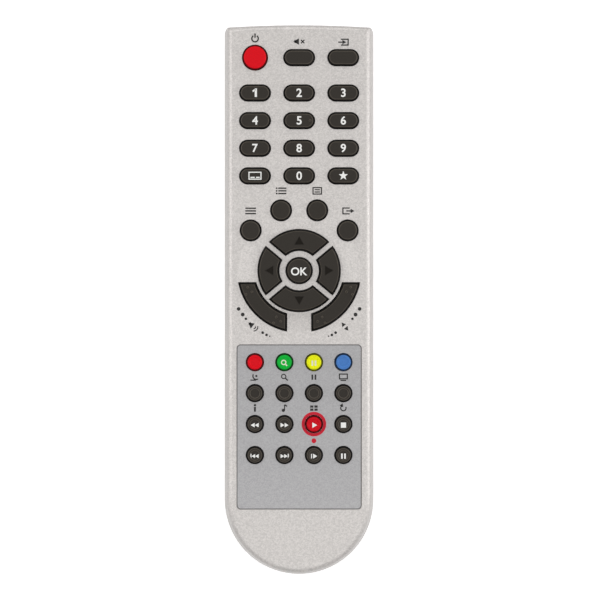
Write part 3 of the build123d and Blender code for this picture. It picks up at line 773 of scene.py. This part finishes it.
def finish_key(name, shape):
    """Makes the piece, and lets it stand for the frame's key."""
    slot = material_slots[name]
    finish = rubbers["deep_red_rubber" if name == "play_key" else slot]
    piece = add_piece(name + "_cap", shape, finish, name)
    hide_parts(name)


def block_flange(shape, node, top):
    """The flat flange under a key, as wide as the node's box."""
    low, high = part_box(node)
    slab = bmesh.ops.create_cube(shape, size=1.0)["verts"]
    size = Vector((high.x - low.x, high.y - low.y, top - key_foot))
    bmesh.ops.scale(shape, vec=size, verts=slab)
    place = middle(node) + Vector((0, 0, (top + key_foot) / 2))
    bmesh.ops.translate(shape, vec=place, verts=slab)


def stud(shape, place):
    """A low round stud on top of a key."""
    dome = bmesh.ops.create_icosphere(shape, subdivisions=3, radius=STUD)["verts"]
    bmesh.ops.scale(shape, vec=(1, 1, STUD_FLATNESS), verts=dome)
    bmesh.ops.translate(shape, vec=(place.x, place.y, key_top), verts=dome)


print("a stud stands", round(STUD * STUD_FLATNESS / MM, 2), "mm out of its key")

# %% Round and pill-shaped keys
LEAN = 0.45 * MM  # keys narrow by this much on each side above the face
RIM = 0.35 * MM
SMALL_KEY = 6.2 * MM  # keys narrower than this are dished
DISH_LAND = 0.25 * MM
DISH_SLOPE = 0.35 * MM
DISH_DEPTH = 0.22 * MM
NUB_ASIDE = 3.85 * MM  # the nub on the 5 key, right of its digit

key_tops = {}  # height of the surface that carries the print


def round_key(node):
    """A round or pill-shaped key, dished if it is one of the small ones."""
    low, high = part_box(node)
    width = high.x - low.x - 2 * OVERHANG
    length = high.y - low.y - 2 * OVERHANG
    small = max(length, width) < SMALL_KEY
    shape = bmesh.new()
    outline = round_outline(shape, middle(node), length, stretch=width - length)
    top = raised(shape, outline, flange_top - LAP, face_z)
    top = taper(shape, top, LEAN, key_top - face_z)
    top = round_rim(shape, top, RIM)
    key_tops[node] = key_top
    if small:
        sink(shape, top, DISH_LAND, DISH_SLOPE, DISH_DEPTH)
        key_tops[node] = key_top - DISH_DEPTH
    if node == "digit_5_key":
        stud(shape, middle(node) + Vector((NUB_ASIDE, 0, 0)))
    block_flange(shape, node, flange_top)
    finish_key(node, shape)


direction_turns = {"right_key": 0, "up_key": 90, "left_key": 180, "down_key": 270}
round_keys = [name for name in nodes if name.endswith("_key") and name not in direction_turns]
for name in round_keys:
    round_key(name)
print("made", len(round_keys), "round and pill-shaped keys")

# %% [markdown]
# ## Direction keys
# Four parts of one ring, with their edges parallel to the spokes between them. The spun
# section already has the leaning side and round rim on its curved sides. The same side is
# pared on to both ends and, with a few cuts in between, round the outer corners. The inner
# corners stay sharp, because a plane that rounds them would cut the curved side too. Each
# key has a triangle pressed into its top: three cuts draw it on the flat top, and the face
# inside them is inset and pushed down. The flange is a plainer part of a larger ring.

# %% Sides of the ring keys
CORNER = 0.5 * MM  # outer corners, seen from above
ROUNDING = 4  # steps from the leaning side to the level top
LEAN_ANGLE = atan2(LEAN, key_top - face_z)


def shoulder(bottom):
    """The side of a key, from its foot up: how far in from its outline, and how high."""
    steps = [(0, bottom), (0, face_z)]
    for step in range(ROUNDING + 1):
        tilt = LEAN_ANGLE + (pi / 2 - LEAN_ANGLE) * step / ROUNDING
        steps.append((LEAN + RIM * (1 - cos(tilt)), key_top - RIM * (1 - sin(tilt))))
    return steps


def pare(shape, side, point, away):
    """Cuts a block down to a key's side along the line through point that faces away."""
    for (inset, low), (next_inset, high) in zip(side, side[1:]):
        tilted = away * (high - low) + Vector((0, 0, next_inset - inset))
        cut_off(shape, point - away * inset + Vector((0, 0, low)), tilted)


def corner_lines(outer, middle_angle, point, away):
    """Lines that round the corner between an end and the outer side."""
    depth = (point - centre).dot(away) - CORNER
    along = Vector((-away.y, away.x, 0))
    along *= 1 if along.dot(unit(middle_angle)) > 0 else -1
    pivot = centre + away * depth + along * sqrt((outer - CORNER) ** 2 - depth ** 2)
    for share in (0.25, 0.5, 0.75):
        facing = away.slerp((pivot - centre).normalized(), share)
        yield pivot + facing * CORNER, facing


print("the keys lean in by", round(degrees(LEAN_ANGLE), 1), "degrees")

# %% Parts of a ring
MERGE = 0.01 * MM  # points nearer than this become one


def level_faces(shape):
    """The faces that lie flat at the height of the key's top."""
    return [f for f in shape.faces if abs(f.calc_center_median().z - key_top) < 1e-6]


def join(part, whole):
    """Adds one bmesh to another and frees it."""
    passing = bpy.data.meshes.new("passing")
    part.to_mesh(passing)
    part.free()
    whole.from_mesh(passing)
    bpy.data.meshes.remove(passing)


def ring_key(inner, outer, gap, foot, flange, middle_angle, ends):
    """A part of a ring with its flange; ends are points on the cuts and their directions."""
    key = bmesh.new()
    side = shoulder(flange - LAP)
    section = [(outer - gap - inset, height) for inset, height in side]
    section += [(inner + gap + inset, height) for inset, height in reversed(side)]
    half_ring(key, centre, section, middle_angle)
    for point, away in ends:
        point = point - away * gap
        pare(key, side, point, away)
        for line in corner_lines(outer - gap, middle_angle, point, away):
            pare(key, side, *line)
    bmesh.ops.remove_doubles(key, verts=key.verts[:], dist=MERGE)
    bmesh.ops.dissolve_faces(key, faces=level_faces(key), use_verts=False)
    bmesh.ops.recalc_face_normals(key, faces=key.faces[:])

    under = bmesh.new()
    inner, outer = inner - RING_OVERHANG, outer + RING_OVERHANG
    section = [(inner, foot), (outer, foot), (outer, flange), (inner, flange)]
    half_ring(under, centre, section, middle_angle)
    for point, away in ends:
        cut_off(under, point + away * RING_OVERHANG, away)
    join(under, key)
    return key


print("points nearer than", round(MERGE / MM, 3), "mm become one")

# %% Direction keys
SECTOR_INNER = 7.0 * MM
ARROW_PLACE = 10.1 * MM  # middle of the triangle, from the OK key
ARROW_SIZE = 2.0 * MM  # width of the circle inside it
ARROW_SLOPE = 0.12 * MM
ARROW_DEPTH = 0.25 * MM


def press_arrow(shape, angle):
    """Presses a triangle that points along angle into the key's level top."""
    place = centre + unit(angle) * ARROW_PLACE
    for turn in (radians(60), pi, radians(-60)):
        side = unit(angle + turn)
        near = level_faces(shape)
        edges = list(dict.fromkeys(e for f in near for e in f.edges))
        corners = list(dict.fromkeys(v for f in near for v in f.verts))
        bmesh.ops.bisect_plane(
            shape, geom=[*near, *edges, *corners], dist=1e-8,
            plane_co=place + side * ARROW_SIZE / 2, plane_no=side,
        )
    arrow = min(level_faces(shape), key=lambda f: (f.calc_center_median() - place).xy.length)
    bmesh.ops.inset_region(shape, faces=[arrow], thickness=ARROW_SLOPE, depth=-ARROW_DEPTH)


def direction_key(node, angle):
    """One of the four direction keys, the one that lies at angle from the OK key."""
    across = abs(sin(angle)) > 0.5
    half_angle = pi / 2 - SPOKE_ANGLE if across else SPOKE_ANGLE
    ends = []
    for side in (-1, 1):
        away = unit(angle + side * (half_angle + pi / 2))
        ends.append((centre - away * SPOKE_WIDTH / 2, away))
    key = ring_key(SECTOR_INNER, sector_outer, SECTOR_GAP, key_foot, flange_top, angle, ends)
    press_arrow(key, angle)
    finish_key(node, key)


for name, turn in direction_turns.items():
    direction_key(name, radians(turn))
print("made", len(direction_turns), "direction keys")

# %% [markdown]
# ## Rockers
# The volume and channel rockers are longer parts of a wider ring, cut square at both
# ends. Three small studs near each end tell the finger where to press. Underneath, a
# round pad rolls on the board: its middle line is the axis that the rocker tilts about.

# %% Rockers
ROCKER_INNER = 15.7 * MM
ROCKER_OUTER = 22.0 * MM
ROCKER_DROP = 4.1 * MM  # upper end, below the middle of the OK key
ROCKER_ASIDE = 4.25 * MM  # lower end, beside it
AXIS_DROP = 2.7 * MM  # tilt axis, below the key face
ROCKER_EASE = 0.06 * MM  # keeps a tilted rocker's flange off the board
PAD_INSET = 0.6 * MM  # ends of the round pad, in from the opening
STUD_TIP = 19.1 * MM  # from the OK key
STUD_PAIR = (18.3 * MM, 20.6 * MM)
STUD_ENDS = ((20.0, 6.2), (72.0, -6.2))  # degrees from straight down, and on to the pair
rocker_axis = face_z - AXIS_DROP


def round_pad(node, angle):
    """The pad on which a rocker tilts: a short cylinder whose middle line is the tilt axis."""
    pad = bmesh.new()
    radius = rocker_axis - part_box(node)[0].z
    place = centre + unit(angle) * (ROCKER_INNER + ROCKER_OUTER) / 2
    place.z = rocker_axis
    lying = Matrix.Rotation(angle, 4, "Z") @ Matrix.Rotation(pi / 2, 4, "Y")
    bmesh.ops.create_cone(
        pad, cap_ends=True, segments=48, radius1=radius, radius2=radius,
        depth=ROCKER_OUTER - ROCKER_INNER - 2 * PAD_INSET, matrix=Matrix.Translation(place) @ lying,
    )
    return pad


def rocker(node, side):
    """The rocker on one side: side is -1 on the left and 1 on the right."""
    ends = [
        (centre - Vector((0, ROCKER_DROP, 0)), Vector((0, 1, 0))),
        (centre + Vector((side * ROCKER_ASIDE, 0, 0)), Vector((-side, 0, 0))),
    ]
    angle = radians(-90 + side * 45)
    foot = key_foot + ROCKER_EASE
    shape = ring_key(
        ROCKER_INNER, ROCKER_OUTER, ROCKER_GAP, foot, rocker_flange_top, angle, ends
    )
    for end, inward in STUD_ENDS:
        tip = radians(-90 + side * end)
        pair = radians(-90 + side * (end + inward))
        stud(shape, centre + unit(tip) * STUD_TIP)
        for radius in STUD_PAIR:
            stud(shape, centre + unit(pair) * radius)
    join(round_pad(node, angle), shape)
    finish_key(node, shape)


rocker("volume_rocker", -1)
rocker("channel_rocker", 1)
print("the rockers tilt about a line", round(rocker_axis / MM, 2), "mm up")

# %% [markdown]
# ## Legends
# The legends are pad-printed: a film of ink far thinner than a hair. A picture laid over
# the keys would blur up close, so each legend is a mesh. It is drawn flat from a few plain
# shapes, in millimetres round its own middle, then laid on its surface with a real though
# tiny thickness. OK and the digits come from the built-in font, apart from the one. All
# the others are plain signs for what the key does, with no words.

# %% Inks
def ink(name, colour, specular=0.3):
    """Matt printing ink, a little thicker in some places than in others."""
    material, tree, shader = new_finish(name, colour, 0.55, specular=specular)
    vary_colour(tree, shader, noise(tree, 0.12 * MM), 0.88, 1.06)
    relief(tree, shader, noise(tree, 0.1 * MM), 0.002 * MM)
    return material


black_ink = ink("black_ink", srgb(30, 28, 27))
white_ink = ink("white_ink", srgb(250, 250, 247))
red_ink = ink("red_ink", srgb(206, 14, 44))
pale_ink = ink("pale_ink", srgb(234, 234, 214))
print("mixed four inks")

# %% Plain shapes to draw with
def moved(shape, vertices, x, y, turn):
    """Turns the vertices about the middle by turn degrees, then moves them to x, y."""
    bmesh.ops.rotate(shape, verts=vertices, matrix=Matrix.Rotation(radians(turn), 3, "Z"))
    bmesh.ops.translate(shape, verts=vertices, vec=(x, y, 0))


def bar(shape, x, y, width, height, turn=0):
    """A flat bar with its middle at x, y."""
    made = bmesh.ops.create_grid(shape, x_segments=1, y_segments=1, size=0.5)["verts"]
    bmesh.ops.scale(shape, verts=made, vec=(width, height, 1))
    moved(shape, made, x, y, turn)


def dot(shape, x, y, diameter):
    """A flat disc."""
    made = bmesh.ops.create_circle(shape, cap_ends=True, radius=diameter / 2, segments=32)
    moved(shape, made["verts"], x, y, 0)


def wedge(shape, x, y, length, turn=0):
    """An even-sided triangle that points along turn."""
    made = bmesh.ops.create_circle(shape, cap_ends=True, radius=length * 2 / 3, segments=3)["verts"]
    tip = degrees(atan2(made[0].co.y, made[0].co.x))
    moved(shape, made, x, y, turn - tip)


def loop(shape, x, y, diameter, line, start=0, sweep=360):
    """A ring, or the part of one that sweeps on from start."""
    inner = diameter / 2 - line
    ends = [shape.verts.new((inner, 0, 0)), shape.verts.new((diameter / 2, 0, 0))]
    edge = shape.edges.new(ends)
    before = set(shape.verts) - set(ends)
    bmesh.ops.spin(
        shape, geom=[*ends, edge], cent=(0, 0, 0), axis=(0, 0, 1), dvec=(0, 0, 0),
        angle=radians(sweep), steps=max(8, sweep // 6), use_merge=sweep == 360,
    )
    moved(shape, [v for v in shape.verts if v not in before], x, y, start)


def box_line(shape, x, y, width, height, line, sides="lrtb"):
    """The outline of a box, or those of its sides that are named."""
    for side, sign in (("l", -1), ("r", 1)):
        if side in sides:
            bar(shape, x + sign * (width - line) / 2, y, line, height - 2 * line)
    for side, sign in (("b", -1), ("t", 1)):
        if side in sides:
            bar(shape, x, y + sign * (height - line) / 2, width, line)


print("five plain shapes: bar, dot, wedge, loop and box_line")

# %% Digits, letters and a star
BOLDER = 0.02  # widens the font's strokes; at 0.01 and 0.03 its nine fills wrongly


def one(shape, height):
    """A one with its flag, which the built-in font lacks."""
    stem = 0.26 * height
    bar(shape, 0.1 * height, 0, stem, height)
    bar(shape, -0.11 * height, 0.27 * height, 0.4 * height, 0.2 * height, 38)


def star(shape, diameter):
    """A star with five points: every other corner of a ring is drawn in."""
    ring = bmesh.ops.create_circle(shape, cap_ends=True, radius=diameter / 2, segments=10)
    bmesh.ops.scale(shape, verts=ring["verts"][1::2], vec=(0.42, 0.42, 1))


def letters(shape, text, height):
    """Text in the built-in font, as high as asked and centred; nothing is drawn before it."""
    writing = bpy.data.curves.new("writing", "FONT")
    writing.body = text
    writing.offset = BOLDER
    holder = bpy.data.objects.new("writing", writing)
    flat = bpy.data.meshes.new_from_object(holder)
    shape.from_mesh(flat)
    bpy.data.objects.remove(holder)
    bpy.data.meshes.remove(flat)
    across = [v.co.x for v in shape.verts]
    up = [v.co.y for v in shape.verts]
    grow = height / (max(up) - min(up))
    shift = (-(max(across) + min(across)) / 2, -(max(up) + min(up)) / 2, 0)
    bmesh.ops.translate(shape, verts=shape.verts[:], vec=shift)
    bmesh.ops.scale(shape, verts=shape.verts[:], vec=(grow, grow, 1))


print("the font's strokes are widened by", BOLDER)

# %% Signs
DIGIT_HEIGHT = 3.0  # in millimetres, as everything about a sign
LINES = (-0.95, 0, 0.95)  # where the three lines of a list lie


def speaker(x):
    """The strokes of a loudspeaker that opens to the right, up to about x."""
    return [(bar, x - 0.95, 0, 0.7, 1.0), (wedge, x - 0.35, 0, 2.0, 180)]


signs = {  # each stroke is a plain shape and its numbers, in millimetres
    "power": [(loop, 0, -0.15, 2.8, 0.5, 122, 296), (bar, 0, 0.9, 0.5, 1.5)],
    "mute": [*speaker(-0.4), (bar, 1.25, 0, 1.7, 0.42, 45), (bar, 1.25, 0, 1.7, 0.42, -45)],
    "source": [
        (box_line, 0.55, 0, 2.8, 2.5, 0.45, "rtb"), (bar, -1.05, 0, 1.5, 0.45),
        (wedge, 0.15, 0, 1.4),
    ],
    "exit": [
        (box_line, -0.6, 0, 2.6, 2.5, 0.45, "ltb"), (bar, 0.3, 0, 1.5, 0.45),
        (wedge, 1.5, 0, 1.4),
    ],
    "menu": [(bar, 0, y, 3.8, 0.5) for y in LINES],
    "guide": [(dot, -1.55, y, 0.62) for y in LINES] + [(bar, 0.45, y, 2.9, 0.5) for y in LINES],
    "text": [(box_line, 0, 0, 3.4, 2.7, 0.42), (bar, 0, -0.4, 1.9, 0.4), (bar, 0, 0.4, 1.9, 0.4)],
    "subtitle": [
        (box_line, 0, 0, 4.6, 2.8, 0.36), (bar, -0.85, -0.6, 1.5, 0.42),
        (bar, 1.0, -0.6, 1.3, 0.42),
    ],
    "favourites": [(star, 3.4)],
    "ok": [(letters, "OK", 2.85)],
    "volume": [
        *speaker(-0.6), (loop, 0.1, 0, 1.8, 0.38, -50, 100), (loop, 0.1, 0, 3.4, 0.38, -50, 100),
    ],
    "channel": [(wedge, 0, 0.9, 1.5, 90), (wedge, 0, -0.9, 1.5, -90)],
    "aerial": [
        (loop, 0.5, 0.4, 2.9, 0.46, 150, 150), (dot, 0.5, 0.4, 0.8),
        (bar, -0.6, -1.05, 2.0, 0.42),
    ],
    "zoom": [(loop, -0.25, 0.25, 1.9, 0.38), (bar, 0.8, -0.8, 1.1, 0.46, -45)],
    "screen": [(box_line, 0, 0.25, 3.2, 2.1, 0.42), (bar, 0, -1.15, 2.0, 0.42)],
    "info": [(dot, 0, 1.05, 0.85), (bar, 0, -0.4, 0.7, 1.7)],
    "audio": [
        (dot, -0.4, -0.8, 1.15), (bar, 0.05, 0.15, 0.36, 2.1), (bar, 0.5, 0.9, 1.1, 0.46, -30),
    ],
    "mosaic": [(bar, x, y, 1.15, 0.8) for x in (-0.75, 0.75) for y in (-0.55, 0.55)],
    "recall": [(loop, 0, 0, 2.3, 0.42, 120, 270), (wedge, -0.55, 0.95, 1.25, 190)],
    "rewind": [(wedge, -0.55, 0, 1.42, 180), (wedge, 0.9, 0, 1.42, 180)],
    "forward": [(wedge, -0.9, 0, 1.42), (wedge, 0.55, 0, 1.42)],
    "previous": [
        (bar, -1.38, 0, 0.36, 1.7), (wedge, -0.34, 0, 1.26, 180), (wedge, 0.92, 0, 1.26, 180),
    ],
    "next": [(bar, 1.38, 0, 0.36, 1.7), (wedge, 0.34, 0, 1.26), (wedge, -0.92, 0, 1.26)],
    "play": [(wedge, 0, 0, 1.7)],
    "stop": [(bar, 0, 0, 1.85, 1.85)],
    "slow": [(bar, -0.85, 0, 0.34, 1.6), (wedge, 0.2, 0, 1.5)],
    "pause": [(bar, -0.55, 0, 0.6, 1.85), (bar, 0.55, 0, 0.6, 1.85)],
}
signs |= {"digit_" + digit: [(letters, digit, DIGIT_HEIGHT)] for digit in "023456789"}
signs["digit_1"] = [(one, DIGIT_HEIGHT)]
print("drew up", len(signs), "signs")

# %% [markdown]
# ## Printing them
# A legend on a key rides on that key, so that it goes down with it. Legends on the
# housing and on the plate stay with the case.

# %% Laying prints on surfaces
INK_THICKNESS = 0.02 * MM
PRINT_LIFT = 0.004 * MM  # keeps the film clear of the surface under it


def lay_print(name, sign, place, material, body, turn=0):
    """Draws a sign in millimetres and lays it on a surface at place."""
    shape = bmesh.new()
    for draw, *numbers in sign:
        draw(shape, *numbers)
    bmesh.ops.scale(shape, verts=shape.verts[:], vec=(MM, MM, 1))
    moved(shape, shape.verts[:], place.x, place.y, turn)
    bmesh.ops.translate(shape, verts=shape.verts[:], vec=(0, 0, place.z + PRINT_LIFT))
    film = bmesh.ops.extrude_face_region(shape, geom=shape.faces[:])["geom"]
    upper = [item for item in film if isinstance(item, bmesh.types.BMVert)]
    bmesh.ops.translate(shape, verts=upper, vec=(0, 0, INK_THICKNESS))
    return add_piece(name, shape, material, body)


OTHER_SIGN = {"red": "aerial", "green": "zoom", "yellow": "pause", "blue": "screen"}


def sign_of(key):
    """The sign of a key; a coloured key's is named for what the key does."""
    name = key.replace("_key", "")
    return signs[OTHER_SIGN.get(name, name)]


print("the ink is", round(INK_THICKNESS / MM, 2), "mm thick")

# %% Legends on keys
SIGN_DROP = 0.3 * MM  # signs sit a little low on the small keys and the OK key

printed_keys = [
    "subtitle_key", "favourites_key", "green_key", "yellow_key", "rewind_key", "forward_key",
    "play_key", "stop_key", "previous_key", "next_key", "slow_key", "pause_key", "ok_key",
]
printed_keys += [f"digit_{digit}_key" for digit in range(10)]
for key in printed_keys:
    place = middle(key)
    place.z = key_tops[key]
    if place.z < key_top or key == "ok_key":
        place.y -= SIGN_DROP
    colour = pale_ink if key in ("green_key", "yellow_key") else white_ink
    lay_print(key + "_print", sign_of(key), place, colour, key)
print("printed", len(printed_keys), "keys")

# %% [markdown]
# ## Floors of the pressed triangles
# The floors of the triangles in the direction keys are darker and duller than the tops.
# A dark film, laid like a print, does that better than a mask, because it ends exactly at
# the foot of the slope.

# %% Floors of the pressed triangles
ARROW_FLOOR = 2.55  # height of the floor in millimetres, less than the mouth's

# a darker, duller film on the floors of the triangles
dark_arrow_floor = ink("dark_arrow_floor", srgb(34, 31, 27), specular=0.04)
for key, turn in direction_turns.items():
    place = centre + unit(radians(turn)) * ARROW_PLACE
    place.z = key_top - ARROW_DEPTH
    lay_print(key + "_floor", [(wedge, 0, 0, ARROW_FLOOR)], place, dark_arrow_floor, key, turn)
print("laid", len(direction_turns), "floors")

# %% [markdown]
# ## Signs that stay with the case
# The keys of the upper rows have their sign over them, and the small keys have it under
# them, on the plate. A red ring round the play key, with a red dot below, marks the key
# that also records.

# %% Legends on the housing
SIGN_ABOVE = 6.9 * MM  # from a key's middle to the sign over it
face_surface = Vector((0, 0, face_z))
nearer = {"mute_key": 5.7 * MM, "source_key": 5.5 * MM}  # these keys reach less far up
face_signs = (
    "power_key", "mute_key", "source_key", "guide_key", "text_key", "menu_key", "exit_key",
)
for key in face_signs:
    above = nearer.get(key, SIGN_ABOVE)
    place = middle(key) + face_surface + Vector((0, above, 0))
    lay_print(key.replace("_key", "_sign"), sign_of(key), place, black_ink, "case")
print("printed", len(face_signs), "signs on the housing")

# %% Legends on the plate
SIGN_BELOW = 5.3 * MM  # from a small key's middle to the sign under it
PLAY_RING = 8.7  # printed ring round the play key, in millimetres
PLAY_HOLE = 6.6  # the hole inside it
RECORD_DOT = 1.7
RECORD_BELOW = 5.9 * MM

plate_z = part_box("inlay_plate")[1].z
plate_surface = Vector((0, 0, plate_z))
plate_signs = (
    "red_key", "green_key", "yellow_key", "blue_key", "info_key", "audio_key", "mosaic_key",
    "recall_key",
)
for key in plate_signs:
    place = middle(key) + plate_surface - Vector((0, SIGN_BELOW, 0))
    lay_print(key.replace("_key", "_sign"), sign_of(key), place, black_ink, "case")

ring = [(loop, 0, 0, PLAY_RING, (PLAY_RING - PLAY_HOLE) / 2)]
ring_place = middle("play_key") + plate_surface
lay_print("play_ring", ring, ring_place, red_ink, "case")
record_place = ring_place - Vector((0, RECORD_BELOW, 0))
lay_print("record_sign", [(dot, 0, 0, RECORD_DOT)], record_place, red_ink, "case")
print("printed", len(plate_signs) + 2, "signs on the plate")

# %% [markdown]
# ## Signs and dots beside the rockers
# Two rows of dots that shrink towards the bottom follow the outer edge of each rocker,
# with the sign for volume or channel between them.

# %% Rocker signs
DOT_ROWS = (  # places from the OK key, and diameters, in millimetres
    (-21.4, -13.55, 1.3), (-19.95, -15.55, 1.35), (-18.85, -17.05, 0.9),
    (-12.9, -21.95, 1.0), (-11.55, -22.75, 0.95), (-10.4, -23.2, 0.5),
)
SIGN_PLACE = Vector((16.2 * MM, -19.8 * MM, 0))
SIGN_TURN = 40  # degrees, so that the sign follows the rocker's edge

middle_place = centre + face_surface
for side, name in ((1, "volume"), (-1, "channel")):
    dots = [(dot, side * x, y, diameter) for x, y, diameter in DOT_ROWS]
    lay_print(name + "_dots", dots, middle_place, black_ink, "case")
    place = middle_place + Vector((-side * SIGN_PLACE.x, SIGN_PLACE.y, 0))
    lay_print(name + "_sign", signs[name], place, black_ink, "case", turn=-SIGN_TURN * side)
print("printed", 2 * len(DOT_ROWS), "dots beside the rockers")
